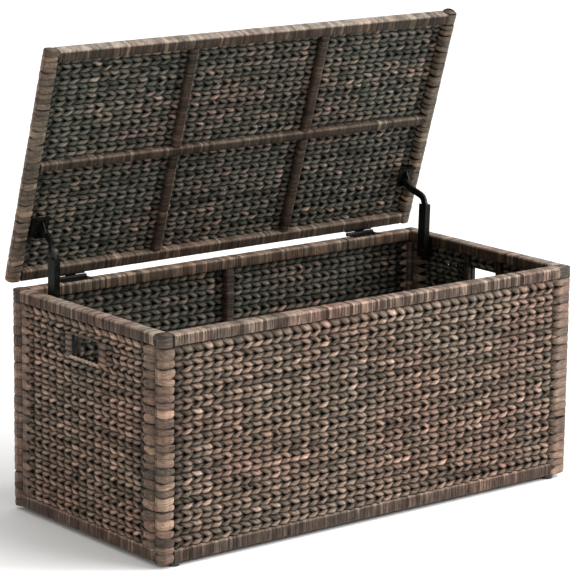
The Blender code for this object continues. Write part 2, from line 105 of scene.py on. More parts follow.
# Camera and light
CAMERA_AZIMUTH = -39.09
CAMERA_ELEVATION = 12.67
CAMERA_ROLL = 0.69
CAMERA_DISTANCE = 5.112
CAMERA_LENS = 181.4
AIM_ACROSS = -0.005
AIM_UP = 0.3559

HINGE = next(joint for joint in frame["joints"] if joint["name"] == "lid_hinge")
OPEN_ANGLE = math.radians(HINGE["range_deg"][1])
PIN = Vector(HINGE["pos_m"])
LID_FRAME = Matrix.Translation(PIN) @ Matrix.Rotation(-OPEN_ANGLE, 4, "X")
PLACES = {"box": Matrix.Identity(4), "lid": LID_FRAME}  # the frames that pieces are built in
X, Y, Z = 0, 1, 2


def extent(node, body="box"):
    """Lowest and highest corner of a CAD node, in the frame that its body's pieces are built in."""
    mesh = frame["nodes"][node].data
    points = np.empty(len(mesh.vertices) * 3)
    mesh.vertices.foreach_get("co", points)
    back = np.array(PLACES[body].inverted())
    points = points.reshape(-1, 3) @ back[:3, :3].T + back[:3, 3]
    return points.min(0), points.max(0)


# ---------------------------------------------------------------- materials


class Look:
    """A material and short ways to add nodes to it."""

    def __init__(self, name):
        self.material = bpy.data.materials.new(name)
        self.material.use_nodes = True
        self.tree = self.material.node_tree
        self.shader = self.tree.nodes["Principled BSDF"]

    def add(self, kind, inputs=None, **settings):
        made = self.tree.nodes.new(kind)
        for key, value in settings.items():
            setattr(made, key, value)
        for key, value in (inputs or {}).items():
            self.put(made.inputs[key], value)
        return made

    def put(self, socket, value):
        if isinstance(value, bpy.types.NodeSocket):
            self.tree.links.new(value, socket)
        else:
            socket.default_value = value

    def attribute(self, name):
        return self.add("ShaderNodeAttribute", attribute_name=name).outputs["Fac"]

    def sum(self, kind, first, second):
        return self.add("ShaderNodeMath", {0: first, 1: second}, operation=kind).outputs[0]

    def span(self, value, low, high, start=0.0, stop=1.0):
        inputs = {"Value": value, "From Min": start, "From Max": stop, "To Min": low, "To Max": high}
        return self.add("ShaderNodeMapRange", inputs).outputs["Result"]

    def ramp(self, value, stops):
        made = self.add("ShaderNodeValToRGB", {"Fac": value})
        line = made.color_ramp.elements
        while len(line) < len(stops):
            line.new(0.5)
        for element, (place, colour) in zip(line, stops):
            element.position = place
            element.color = (*colour, 1.0)
        return made.outputs["Color"]

    def noise(self, vector, scale, detail=3.0, roughness=0.55):
        inputs = {"Vector": vector, "Scale": scale, "Detail": detail, "Roughness": roughness}
        return self.add("ShaderNodeTexNoise", inputs).outputs["Fac"]

    def mix(self, kind, factor, first, second):
        made = self.add("ShaderNodeMix", data_type="RGBA", blend_type=kind)
        self.put(made.inputs["Factor"], factor)
        self.put(made.inputs[6], first)
        self.put(made.inputs[7], second)
        return made.outputs[2]

    def grey(self, value):
        return self.add("ShaderNodeCombineColor", {0: value, 1: value, 2: value}).outputs[0]

    def bump(self, height, strength, distance, normal=None):
        inputs = {"Height": height, "Strength": strength, "Distance": distance}
        if normal:
            inputs["Normal"] = normal
        return self.add("ShaderNodeBump", inputs).outputs["Normal"]

    def finish(self, colour, rough, normal, shine=None):
        """Connect the shader and hand back the material."""
        self.put(self.shader.inputs["Base Color"], colour)
        self.put(self.shader.inputs["Roughness"], rough)
        self.put(self.shader.inputs["Normal"], normal)
        if shine is not None:
            self.shader.inputs["Specular IOR Level"].default_value = shine
        return self.material


# pale fibre mixed in where the painted light runs above 1: a painted highlight, with wear
HIGHLIGHT_AND_WEAR_FIBRE = (0.43, 0.350, 0.290, 1.0)
STRAND_TWIST = 30.0  # keeps the streaks of strands of different tone apart
BROAD_STREAK = (0.020, 0.0016)  # length and width
FINE_STREAK = (0.012, 0.0005)
PATCH_SCALE = 60.0
REGION_SCALE = 5.0  # broad patches, some cooler and some redder than the rest
REGION_TINT = (
    (0.36, (0.92, 1.00, 1.01)),
    (0.50, (0.99, 1.00, 1.00)),
    (0.64, (1.08, 0.99, 1.00)),
)


def fibre(name, outer, inner, painted_light_range, streak, rough, depth, shine):
    """Plant fibre: tone picks a colour, painted shade darkens what lies low and painted light
    brightens what stands out, streaks run along the strand.

    outer and inner are the colours of the two faces, the inner one a darker copy: painted shade.
    Where the painted light runs above 1 it mixes in the pale fibre as a painted highlight with
    wear, the most at 3.
    """
    look = Look(name)
    tone = look.attribute("tone")
    lift = look.attribute("lift")
    uv = look.add("ShaderNodeUVMap", uv_map="strand").outputs["UV"]
    apart = look.add("ShaderNodeCombineXYZ", {"Z": look.sum("MULTIPLY", tone, STRAND_TWIST)}).outputs[0]

    def along(length, width):
        scaled = look.add(
            "ShaderNodeVectorMath",
            {0: uv, 1: (1 / length, 1 / width, 0.0)},
            operation="MULTIPLY",
        ).outputs[0]
        return look.add("ShaderNodeVectorMath", {0: scaled, 1: apart}, operation="ADD").outputs[0]

    broad = look.noise(along(*BROAD_STREAK), 1.0)
    fine = look.noise(along(*FINE_STREAK), 1.0, 2.0)
    place = look.add("ShaderNodeTexCoord").outputs["Object"]
    patch = look.noise(place, PATCH_SCALE, 2.0)
    shifted = look.sum("ADD", tone, look.span(broad, -0.24, 0.24, 0.3, 0.7))
    shifted = look.sum("ADD", shifted, look.span(patch, -0.10, 0.10, 0.3, 0.7))
    colour = look.mix(
        "MIX", look.attribute("inner"), look.ramp(shifted, outer), look.ramp(shifted, inner)
    )
    # painted light and shade: scales the colour, near black where the painted light is low and brighter where it
    # is high
    colour = look.mix("MULTIPLY", 1.0, colour, look.grey(look.span(lift, *painted_light_range)))
    # painted highlight with wear: pale fibre where the painted light is above 1, less in some patches and on
    # darker strips
    highlight_and_wear = look.span(lift, 0.0, 0.9, 1.0, 3.0)
    highlight_and_wear = look.sum("MULTIPLY", highlight_and_wear, look.span(patch, 0.7, 1.0, 0.35, 0.65))
    highlight_and_wear = look.sum("MULTIPLY", highlight_and_wear, look.span(shifted, 0.25, 1.0, 0.2, 0.8))
    colour = look.mix("MIX", highlight_and_wear, colour, HIGHLIGHT_AND_WEAR_FIBRE)
    lines = look.span(fine, 1 - streak, 1 + streak, 0.3, 0.7)
    colour = look.mix("MULTIPLY", 1.0, colour, look.grey(lines))
    region = look.ramp(look.noise(place, REGION_SCALE, 2.0), REGION_TINT)
    colour = look.mix("MULTIPLY", 1.0, colour, region)
    rough = look.span(broad, rough + 0.12, rough - 0.10, 0.3, 0.7)
    bump = look.bump(fine, 0.5, depth * 0.4, look.bump(broad, 0.8, depth))
    return look.finish(colour, rough, bump, shine)


# each fibre's second ramp, for faces that look into the trunk, is a darker copy of its first: painted shade
WOVEN = fibre(
    "woven_hyacinth_strand",
    (
        (0.00, (0.030, 0.024, 0.016)),
        (0.25, (0.066, 0.050, 0.038)),
        (0.55, (0.124, 0.088, 0.066)),
        (0.80, (0.205, 0.140, 0.105)),
        (1.00, (0.300, 0.205, 0.156)),
    ),
    (
        (0.00, (0.014, 0.014, 0.011)),
        (0.30, (0.039, 0.038, 0.030)),
        (0.62, (0.074, 0.065, 0.050)),
        (0.84, (0.132, 0.095, 0.075)),
        (1.00, (0.205, 0.140, 0.109)),
    ),
    painted_light_range=(0.004, 2.02),
    streak=0.42,
    rough=0.54,
    depth=0.0011,
    shine=0.09,
)
RAIL = fibre(
    "wrapped_rail_strip",
    (
        (0.00, (0.010, 0.007, 0.005)),
        (0.30, (0.026, 0.017, 0.012)),
        (0.60, (0.050, 0.034, 0.026)),
        (0.85, (0.085, 0.059, 0.045)),
        (1.00, (0.165, 0.116, 0.088)),
    ),
    (
        (0.00, (0.008, 0.006, 0.005)),
        (0.35, (0.021, 0.015, 0.010)),
        (0.70, (0.039, 0.026, 0.018)),
        (1.00, (0.094, 0.063, 0.042)),
    ),
    painted_light_range=(0.03, 2.6),
    streak=0.55,
    rough=0.60,
    depth=0.0009,
    shine=0.12,
)
POST = fibre(
    "wrapped_post_strand",
    (
        (0.00, (0.030, 0.025, 0.018)),
        (0.28, (0.070, 0.050, 0.038)),
        (0.58, (0.137, 0.087, 0.064)),
        (0.84, (0.208, 0.131, 0.092)),
        (1.00, (0.310, 0.205, 0.142)),
    ),
    (
        (0.00, (0.014, 0.011, 0.007)),
        (0.35, (0.042, 0.033, 0.024)),
        (0.70, (0.078, 0.058, 0.041)),
        (1.00, (0.180, 0.124, 0.082)),
    ),
    painted_light_range=(0.03, 1.48),
    streak=0.50,
    rough=0.52,
    depth=0.0010,
    shine=0.18,
)


def coated_steel():
    look = Look("black_steel_coat")
    place = look.add("ShaderNodeTexCoord").outputs["Object"]
    peel = look.noise(place, 900.0, 2.0)
    rub = look.noise(place, 140.0, 4.0, 0.7)
    colour = look.ramp(
        rub,
        ((0.35, (0.003, 0.003, 0.003)), (0.62, (0.006, 0.006, 0.005)), (0.82, (0.030, 0.025, 0.020))),
    )
    rough = look.span(rub, 0.26, 0.46, 0.3, 0.7)
    return look.finish(colour, rough, look.bump(peel, 0.25, 0.0002), shine=0.08)


def moulded_plastic():
    look = Look("foot_plastic_grain")
    place = look.add("ShaderNodeTexCoord").outputs["Object"]
    grain = look.noise(place, 1400.0, 2.0)
    scuff = look.noise(place, 220.0, 4.0, 0.7)
    colour = look.ramp(scuff, ((0.3, (0.007, 0.007, 0.007)), (0.75, (0.028, 0.027, 0.026))))
    rough = look.span(grain, 0.42, 0.6, 0.3, 0.7)
    return look.finish(colour, rough, look.bump(grain, 0.3, 0.0002))


def stained_board():
    look = Look("base_board_ply")
    place = look.add("ShaderNodeTexCoord").outputs["Object"]
    drawn = look.add("ShaderNodeVectorMath", {0: place, 1: (3.0, 34.0, 34.0)}, operation="MULTIPLY")
    figure = look.noise(drawn.outputs[0], 1.0, 6.0, 0.6)
    pores = look.noise(drawn.outputs[0], 14.0, 2.0)
    colour = look.ramp(
        figure,
        ((0.30, (0.030, 0.019, 0.012)), (0.50, (0.075, 0.048, 0.031)), (0.72, (0.120, 0.080, 0.052))),
    )
    colour = look.mix("MULTIPLY", 1.0, colour, look.grey(look.span(pores, 0.75, 1.12, 0.35, 0.65)))
    rough = look.span(pores, 0.82, 0.62, 0.3, 0.7)
    return look.finish(colour, rough, look.bump(pores, 0.4, 0.0003))


STEEL = coated_steel()
PLASTIC = moulded_plastic()
BOARD = stained_board()


# ---------------------------------------------------------------- mesh building


class Strands:
    """Collects closed tubes into one mesh, with a tone per face, and per point the painted light and shade and the
    share of the darker inner colour, which is painted shade.
    """

    def __init__(self):
        self.points = []
        self.quads = []
        self.caps = []
        self.face_tone = []
        self.cap_tone = []
        self.lift = []
        self.inner = []
        self.quad_uv = []
        self.cap_uv = []
        self.count = 0

    def tube(self, rings, tone, lift, inner, along, around):
        """rings is (rings, sides, 3). along and around give the strand's own coordinates."""
        total, sides = rings.shape[:2]
        index = self.count + np.arange(total * sides).reshape(total, sides)
        turned = np.roll(index, -1, axis=1)
        quads = np.stack((index[:-1], turned[:-1], turned[1:], index[1:]), -1).reshape(-1, 4)
        caps = np.stack((index[0][::-1], index[-1]))
        if signed_volume(rings) < 0:
            quads = quads[:, ::-1]
            caps = caps[:, ::-1]
            flip = slice(None, None, -1)
        else:
            flip = slice(None)
        here = np.broadcast_to(around[:, :-1], (total, sides))
        onward = np.broadcast_to(around[:, 1:], (total, sides))
        near = np.broadcast_to(along, (total, sides))
        corners = np.stack(
            (
                np.stack((near[:-1], here[:-1]), -1),
                np.stack((near[:-1], onward[:-1]), -1),
                np.stack((near[1:], onward[1:]), -1),
                np.stack((near[1:], here[1:]), -1),
            ),
            2,
        )
        self.quad_uv.append(corners.reshape(-1, 4, 2)[:, flip].reshape(-1, 2))
        self.cap_uv.append(np.stack((near[[0, -1]], here[[0, -1]]), -1).reshape(-1, 2))
        self.points.append(rings.reshape(-1, 3))
        self.quads.append(quads)
        self.caps.append(caps)
        self.face_tone.append(np.repeat(tone, sides))
        self.cap_tone.append(np.array((tone[0], tone[-1])))
        self.lift.append(np.broadcast_to(lift, (total, sides)).ravel())
        self.inner.append(np.broadcast_to(inner, (total, sides)).ravel())
        self.count += total * sides

    def make(self, name, look, body, nodes=()):
        mesh = bpy.data.meshes.new(name)
        place = np.array(PLACES[body])
        points = np.concatenate(self.points) @ place[:3, :3].T + place[:3, 3]
        quads = np.concatenate(self.quads)
        sides = self.caps[0].shape[1]
        caps = np.concatenate(self.caps)
        mesh.vertices.add(len(points))
        mesh.vertices.foreach_set("co", points.ravel())
        mesh.loops.add(quads.size + caps.size)
        mesh.loops.foreach_set("vertex_index", np.concatenate((quads.ravel(), caps.ravel())))
        starts = np.concatenate(
            (np.arange(len(quads)) * 4, quads.size + np.arange(len(caps)) * sides)
        )
        mesh.polygons.add(len(starts))
        mesh.polygons.foreach_set("loop_start", starts)
        mesh.update(calc_edges=True)
        mesh.polygons.foreach_set("use_smooth", np.ones(len(starts), bool))
        layer = mesh.uv_layers.new(name="strand")
        layer.data.foreach_set("uv", np.concatenate(self.quad_uv + self.cap_uv).ravel())
        for label, domain, parts in (
            ("tone", "FACE", self.face_tone + self.cap_tone),
            ("lift", "POINT", self.lift),
            ("inner", "POINT", self.inner),
        ):
            made = mesh.attributes.new(label, "FLOAT", domain)
            made.data.foreach_set("value", np.concatenate(parts).astype(np.float32))
        mesh.materials.append(look)
        add_piece(name, mesh, body, nodes)


def new_object(name, content):
    made = bpy.data.objects.new(name, content)
    bpy.context.scene.collection.objects.link(made)
    return made


def add_piece(name, mesh, body, nodes=()):
    piece = new_object(name, mesh)
    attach(piece, body)
    if nodes:
        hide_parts(*nodes)


def signed_volume(rings):
    """Positive if quads made ring by ring face outwards."""
    first = rings[:-1]
    second = np.roll(rings, -1, axis=1)[:-1]
    third = rings[1:]
    middle = rings.mean((0, 1))
    return np.einsum("ijk,ijk->", first - middle, np.cross(second - middle, third - middle))


# ---------------------------------------------------------------- woven panels


def wander(count, spread, reach):
    """A slowly changing random line of that many values."""
    knots = DRAW.normal(0, spread, max(count // reach, 2) + 2)
    return np.interp(np.linspace(0, len(knots) - 1, count), np.arange(len(knots)), knots)


def twined_row(
    strands, axes, start, stop, stitches, level, scale, way, middle, outward, drift, reach
):
    """Two strands that cross between the stakes. way is +1 or -1 and sets how stitches slant."""
    row, stack, thick = axes
    count = stitches * RINGS + 1
    step = np.arange(count) / RINGS
    run = start + (stop - start) * step / stitches
    run += np.interp(step, np.arange(stitches + 1), drift)
    from_end = np.minimum(step, stitches - step)
    wobble = wander(count, ROW_WOBBLE, RINGS * 4) * np.clip(from_end / 2, 0, 1)
    end_shade = np.clip(0.35 + from_end / 2.2, 0, 1)[:, None]
    crest = np.abs(np.sin(np.pi * step))
    stitch = np.minimum(step.astype(int), stitches - 1)
    flat_sin = np.sign(np.sin(SECTION)) * np.abs(np.sin(SECTION)) ** 0.9
    plump_spread, least, most = STRAND_PLUMP
    tone, tone_spread, tone_wander, strand_spread = STRAND_TONE
    for strand in (0, 1):
        plump = np.clip(DRAW.normal(1.0, plump_spread, stitches), least, most)[stitch]
        push = DRAW.normal(0.0, STRAND_PUSH, stitches)[stitch]
        tilt = DRAW.normal(0.0, STRAND_TILT, stitches)[stitch] * np.sin(math.tau * step) * 0.8
        drawn = DRAW.beta(2.0, 2.6, stitches) - 0.43
        hue = tone + tone_spread * drawn + wander(stitches, tone_wander, 5)
        hue = hue + DRAW.normal(0, strand_spread)
        hue = np.clip(hue - END_FADE * (1 - end_shade[::RINGS, 0][:stitches]), 0.02, 0.98)
        side = np.where((stitch + strand) % 2 == 0, 1.0, -1.0) * outward
        swing = side * crest**1.25
        out = middle + swing * reach + push * crest * side
        cross = np.cos(np.pi * (step + strand))
        up = level + way * scale * STRAND_RISE * cross + wobble + tilt
        tall = scale * (STRAND_HALF[0] + (STRAND_HALF[1] - STRAND_HALF[0]) * crest**0.95 * plump)
        deep = STRAND_DEEP[0] + (STRAND_DEEP[1] - STRAND_DEEP[0]) * crest * scale
        rings = np.empty((count, SIDES, 3))
        rings[..., row] = run[:, None]
        rings[..., stack] = up[:, None] + tall[:, None] * np.cos(SECTION)
        rings[..., thick] = out[:, None] + deep[:, None] * flat_sin
        facing = (rings[..., thick] - middle) * outward
        # painted shade on the side of a strand that turns behind the other one
        shown = np.clip(0.60 + 0.75 * swing[:, None] * np.sin(SECTION), 0, 1)
        # painted shade along the crevices between rows
        edge = np.abs(rings[..., stack] - level) / (0.5 * scale * ROW_PITCH)
        seam = 1 - 0.95 * np.clip((edge - 0.58) / 0.34, 0, 1)
        # painted light on the middle of each strand, painted shade on its edges, in the crevices and at the ends
        # of rows
        lift = (0.01 + 0.99 * np.abs(flat_sin) ** 1.9) * shown**1.7 * seam * end_shade
        # points that face the panel's inside take the darker inner colour, a painted shade
        inner = np.clip(0.5 - facing / 0.003, 0, 1)
        around = AROUND * 0.026 + 0.35 * run[:, None]
        strands.tube(rings, hue[stitch[:-1]], lift, inner, run[:, None], around)


def woven_panel(
    node, axes, outward, body, bands, pitch, border, opening=None, stitch=STITCH, reach=STRAND_SWING
):
    """A field of twined rows on stakes, in bands so that no mesh is too big.

    axes are the ones that the rows run along, are stacked along and are thick along. border is the
    top row's height as a share of a plain row's. reach is how far the strands swing either side of
    the stakes. opening is the gap that the rows leave: its two ends along them, then the two up.
    """
    row, stack, thick = axes
    low, high = extent(node, body)
    middle = (low[thick] + high[thick]) / 2
    start, stop = low[row] - TUCK, high[row] + TUCK
    stitches = round((stop - start) / stitch)
    rise = high[stack] - low[stack]
    rows = round(rise / pitch - border)
    pitch = rise / (rows + border)
    levels = [low[stack] + (index + 0.5) * pitch for index in range(rows)]
    scales = [pitch / ROW_PITCH] * rows
    if border:
        levels.append(high[stack] - border * pitch / 2)
        scales.append(pitch / ROW_PITCH * border)
    drift = wander(stitches + 1, PANEL_DRIFT, 2)
    drift[[0, -1]] = 0
    share = math.ceil(len(levels) / bands)
    for band in range(bands):
        strands = Strands()
        first_row, after = band * share, min((band + 1) * share, len(levels))
        for index in range(first_row, after):
            level, scale = levels[index], scales[index]
            way = 1 if index % 2 else -1
            lean = drift + wander(stitches + 1, ROW_DRIFT, 2)
            lean[[0, -1]] = 0
            parts = [(start, stop, stitches, lean)]
            if opening and opening[2] < level < opening[3]:
                parts = []
                for first, last in ((start, opening[0]), (opening[1], stop)):
                    number = round((last - first) / stitch)
                    parts.append((first, last, number, np.zeros(number + 1)))
            for first, last, number, line in parts:
                args = (first, last, number, level, scale, way, middle, outward, line, reach)
                twined_row(strands, axes, *args)
        bottom = low[stack] if band == 0 else levels[first_row] - pitch / 2
        top = high[stack] if band == bands - 1 else levels[after - 1] + pitch / 2
        add_stakes(strands, axes, start, stop, stitches, bottom, top, middle, opening)
        name = f"{node}_band_{band}" if bands > 1 else f"{node}_strands"
        strands.make(name, WOVEN, body, [node])


def add_stakes(strands, axes, start, stop, stitches, bottom, top, middle, opening):
    """Flat reeds at every half stitch, which the rows are twined on."""
    row, stack, thick = axes
    for index in range(1, 2 * stitches):
        at = start + (stop - start) * index / 2 / stitches
        pieces = [(bottom, top)]
        if opening and opening[0] - 0.003 < at < opening[1] + 0.003:
            pieces = [(bottom, min(opening[2] - 0.001, top)), (max(opening[3] + 0.001, bottom), top)]
        for first, last in pieces:
            if last - first < 0.001:
                continue
            levels = np.linspace(first, last, 3)
            rings = np.empty((3, SIDES, 3))
            rings[..., row] = at + STAKE_HALF[0] * np.cos(SECTION)
            rings[..., thick] = middle + STAKE_HALF[1] * np.sin(SECTION)
            rings[..., stack] = levels[:, None]
            around = np.linspace(0, 0.012, SIDES + 1)[None, :]
            # the stakes show only in the gaps between strands: their low painted light and half share of the
            # darker inner colour are painted shade
            strands.tube(rings, np.full(2, 0.15), 0.2, 0.5, levels[:, None], around)


# ---------------------------------------------------------------- wrapped bars


def rounded_outline(half_a, half_b, radius):
    """Points and outward normals of a rounded rectangle, and the distance round it."""
    points, normals = [], []
    for quarter, (sign_a, sign_b) in enumerate(((1, 1), (-1, 1), (-1, -1), (1, -1))):
        for share in (0.0, 1 / 3, 2 / 3, 1.0):
            turn = math.pi / 2 * (quarter + share)
            normal = np.array((math.cos(turn), math.sin(turn)))
            centre = np.array((sign_a * (half_a - radius), sign_b * (half_b - radius)))
            points.append(centre + radius * normal)
            normals.append(normal)
        after = ((-1, 1), (-1, -1), (1, -1), (1, 1))[quarter]
        to_centre = np.array((after[0] * (half_a - radius), after[1] * (half_b - radius)))
        end = to_centre + radius * normals[-1]
        for share in (1 / 3, 2 / 3):
            points.append(points[quarter * 6 + 3] * (1 - share) + end * share)
            normals.append(normals[quarter * 6 + 3])
    points, normals = np.array(points), np.array(normals)
    steps = np.linalg.norm(np.roll(points, -1, 0) - points, axis=1)
    return points, normals, np.concatenate(([0], np.cumsum(steps)))


def strip_stations(length, strip, profile, tone_mean, tone_spread):
    """Where the rings of a wrapped bar go, how far each stands out, and the tone between them."""
    at, out, tone = [], [], []
    here = 0.0
    while here < length:
        wide = DRAW.uniform(*strip)
        if length - here - wide < strip[0] * 0.6:
            wide = length - here
        swell = DRAW.uniform(0.7, 1.25)
        hue = DRAW.normal(tone_mean, tone_spread)
        for share, height in profile:
            at.append(here + share * wide)
            out.append(height * swell)
            tone.append(hue + DRAW.normal(0, tone_spread * 0.45))
        here += wide
    at.append(length)
    out.append(0.0)
    return np.array(at), np.array(out), np.clip(tone, 0.01, 0.99)


# share of a strip's width, and how far it stands out there
FINE_PROFILE = (
    (0.0, 0.0), (0.07, 1.0), (0.24, 0.86), (0.42, 0.92),
    (0.60, 0.70), (0.78, 0.74), (0.95, 0.45),
)
COARSE_PROFILE = (
    (0.0, 0.0), (0.07, 0.42), (0.20, 0.78), (0.36, 0.97),
    (0.52, 1.0), (0.68, 0.92), (0.84, 0.70), (0.95, 0.36),
)


def wrapped_bar(
    name, low, high, axis, body, nodes=(), coarse=False, look=RAIL, tone=(0.5, 0.14),
    inner_way=None, proud=None, strip=FINE_STRIP, swell=FINE_LAP, bright_way=None, bright=0.75,
    ends=(None, None), slot_name="wrapped_rail",
):
    """A bar wound with flat strip, finely, or coarsely with swelling strands.

    tone is a mean and a spread, and ends are the tones of the two ends where they differ.
    inner_way is the direction of the inner side, which takes the darker inner colour as painted
    shade, bright_way that of a side with a painted highlight, bright its strength, and proud the
    one strands swell most in.
    """
    others = [index for index in range(3) if index != axis]
    half = [(high[index] - low[index]) / 2 for index in others]
    centre = [(high[index] + low[index]) / 2 for index in others]
    radius = min(COARSE_CORNER if coarse else CORNER, min(half) * 0.8)
    points, normals, around = rounded_outline(*half, radius)
    length = high[axis] - low[axis]
    at, out, hues = strip_stations(length, strip, COARSE_PROFILE if coarse else FINE_PROFILE, *tone)
    out = out * swell
    for hue, far in zip(ends, (at[:-1], length - at[:-1])):
        if hue is not None:
            hues = np.where(far < RAIL_END, hue, hues)
    count, sides = len(at), len(points)
    weight = np.ones(sides)
    if proud is not None:
        reach = points @ np.array(proud) / (np.abs(np.array(proud)) @ np.array(half))
        weight = 0.60 + 0.80 * np.clip(reach, -0.6, 1.0)
    lean = wander(count, 0.0018 if coarse else 0.0008, 9)
    fade = np.clip(np.minimum(at, length - at) / 0.012, 0, 1)
    turn = np.arctan2(normals[:, 1], normals[:, 0])
    phase = DRAW.uniform(0, math.tau)
    rings = np.empty((count, sides, 3))
    grain = DRAW.normal(0, 0.00005, (count, sides))
    stand = out[:, None] * weight + grain - swell * 0.45
    flat = points[None] + normals[None] * stand[..., None]
    rings[..., others[0]] = centre[0] + flat[..., 0]
    rings[..., others[1]] = centre[1] + flat[..., 1]
    slant = lean[:, None] * np.sin(turn + phase)[None, :] * fade[:, None]
    rings[..., axis] = low[axis] + at[:, None] + slant
    if coarse:
        # painted light on the crest of each strand and on the proud side, painted shade in the creases between
        # strands
        lift = np.clip(out / swell, 0, 1)[:, None] ** 1.3
        lift = lift * np.clip(0.16 + 0.66 * weight, 0, 1.1)[None, :]
    else:
        # painted light on the raised part of each lap, painted shade where laps meet, and a painted highlight
        # along the rounded corners
        edge = 1 - np.abs(np.abs(np.cos(turn) * np.sin(turn)) * 2 - 1)
        corner = np.abs(np.sin(2 * turn)) > 0.3
        lift = (0.20 + 0.34 * out[:, None] / swell) + 0.20 * corner[None, :] * edge[None, :]
        # random painted highlight with wear along the corners on the highlighted side
        highlight_and_wear = np.clip(DRAW.normal(0.45, 0.35, count), 0, 1.2)
        if bright_way is not None:
            upper = np.clip(normals @ np.array(bright_way), 0, 1) * corner
            lift = lift + 0.55 * highlight_and_wear[:, None] * upper[None, :]
    # painted highlight on the faces turned to the highlighted side
    if bright_way is not None:
        lift = lift + bright * np.clip(normals @ np.array(bright_way), 0, 1)[None, :]
    inner = np.zeros(sides)
    # the inner side takes the darker inner colour: painted shade
    if inner_way is not None:
        inner = np.clip(0.5 + normals @ np.array(inner_way), 0, 1)
    strands = Strands()
    across = np.broadcast_to(at[:, None], (count, sides + 1))
    strands.tube(rings, hues, lift, inner[None, :], around[None, :-1], across)
    strands.make(name, look, body, nodes)


def wrapped_node(node, axis, body="box", **settings):
    """A wrapped bar in the place of one CAD bar."""
    wrapped_bar(f"{node}_wrap", *extent(node, body), axis, body, [node], **settings)


def looped_bar(
    node, low, high, axis, body, tone, far, inner_way, capped=0.0, strip=LOOP_STRIP,
    taper=0.62, rise=LOOP_RISE,
):
    """A core, painted dark as the shade between loops, wound with separate plump strands, narrow and proud where
    they turn at far.

    capped is the length at the top that is wound with flat strips instead.
    """
    others = [index for index in range(3) if index != axis]
    half = np.array([(high[index] - low[index]) / 2 for index in others])
    centre = np.array([(high[index] + low[index]) / 2 for index in others])
    strands = Strands()
    corner = CORE_ROUND * np.stack((np.cos(SECTION), np.sin(SECTION)), 1)
    core = np.sign(corner) * (half - LOOP_SINK - CORE_ROUND)[None, :] + corner
    levels = np.array((low[axis], low[axis] + CORE_END, high[axis] - CORE_END, high[axis]))
    rings = np.empty((4, SIDES, 3))
    rings[..., others[0]] = centre[0] + core[:, 0]
    rings[..., others[1]] = centre[1] + core[:, 1]
    rings[..., axis] = levels[:, None]
    around = np.linspace(0, 0.08, SIDES + 1)[None, :]
    strands.tube(rings, CORE_TONE, CORE_PAINTED_LIGHT, CORE_INNER, levels[:, None], around)
    # the outline that the loops follow, closed, and starting opposite far
    points, normals, _ = rounded_outline(*(half - LOOP_SINK), min(LOOP_CORNER, min(half) * 0.6))
    start = int(np.argmin(points @ np.array(far)))
    points, normals = np.roll(points, -start, 0), np.roll(normals, -start, 0)
    points = np.concatenate((points, points[:1]))
    normals = np.concatenate((normals, normals[:1]))
    steps = np.linalg.norm(np.diff(points, axis=0), axis=1)
    distance = np.concatenate(([0], np.cumsum(steps)))
    reach = points @ np.array(far) / (np.abs(np.array(far)) @ (half - LOOP_SINK))
    outer = np.clip((reach - 0.25) / 0.75, 0, 1)
    inner = np.clip(0.5 + normals @ np.array(inner_way), 0, 1)

    def wound(away, level):
        rings = np.empty((len(points), SIDES, 3))
        rings[..., others[0]] = centre[0] + points[:, :1] + normals[:, :1] * away
        rings[..., others[1]] = centre[1] + points[:, 1:] + normals[:, 1:] * away
        rings[..., axis] = level
        return rings

    here, last = low[axis], high[axis] - capped
    while here < last - strip[0] * 0.5:
        wide = DRAW.uniform(*strip)
        if last - here - wide < strip[0] * 0.6:
            wide = last - here
        hue = DRAW.normal(*tone)
        plump = DRAW.uniform(0.8, 1.25)
        tall = wide * 0.53 * (1 - (1 - taper) * outer**1.6 * DRAW.uniform(0.7, 1.2))
        deep = rise[0] + (rise[1] * plump - rise[0]) * outer
        tip = outer * rise[2] * plump
        slope = DRAW.normal(0, 0.0012)
        slope = slope * np.sin(math.tau * distance / distance[-1] + DRAW.uniform(0, 6))
        middle = here + wide / 2 + slope
        stand = LOOP_SINK * 0.6 + tip + DRAW.normal(0, 0.0002, len(points))
        round_it = np.sign(np.sin(SECTION)) * np.abs(np.sin(SECTION)) ** 0.7
        away = stand[:, None] + deep[:, None] * round_it
        rings = wound(away, middle[:, None] + tall[:, None] * np.cos(SECTION))
        # painted light on each loop's outer side and its proud far part, painted shade on its inner side and in a
        # dark line at the hidden seam
        shade = 0.10 + 0.90 * np.clip(np.sin(SECTION), 0, 1) ** 0.7
        seam = 0.15 + 0.85 * np.clip((reach + 1.0) / 0.14, 0, 1)
        lift = shade[None, :] * ((0.80 + 0.28 * outer) * seam)[:, None]
        hues = np.clip(hue + wander(len(points) - 1, 0.05, 4), 0.02, 0.98)
        across = AROUND * wide * 2.2
        strands.tube(rings, hues, lift, inner[:, None], distance[:, None] + 0.1 * here, across)
        here += wide
    here = last
    while capped and here < high[axis] - 0.002:
        wide = min(DRAW.uniform(*CAP_STRIP), high[axis] - here)
        away = LOOP_SINK * 0.8 + 0.0010 * np.sin(SECTION)[None, :]
        away = away + DRAW.normal(0, 0.0002, len(points))[:, None]
        rings = wound(away, here + wide * 0.5 + wide * 0.54 * np.cos(SECTION)[None, :])
        hues = np.full(len(points) - 1, np.clip(DRAW.normal(0.16, 0.07), 0.02, 0.98))
        across = AROUND * wide * 2.2
        strands.tube(rings, hues, 0.62, inner[:, None], distance[:, None] + here, across)
        here += wide
    strands.make(f"{node}_wrap", POST, body, [node])


# ---------------------------------------------------------------- the trunk's panels


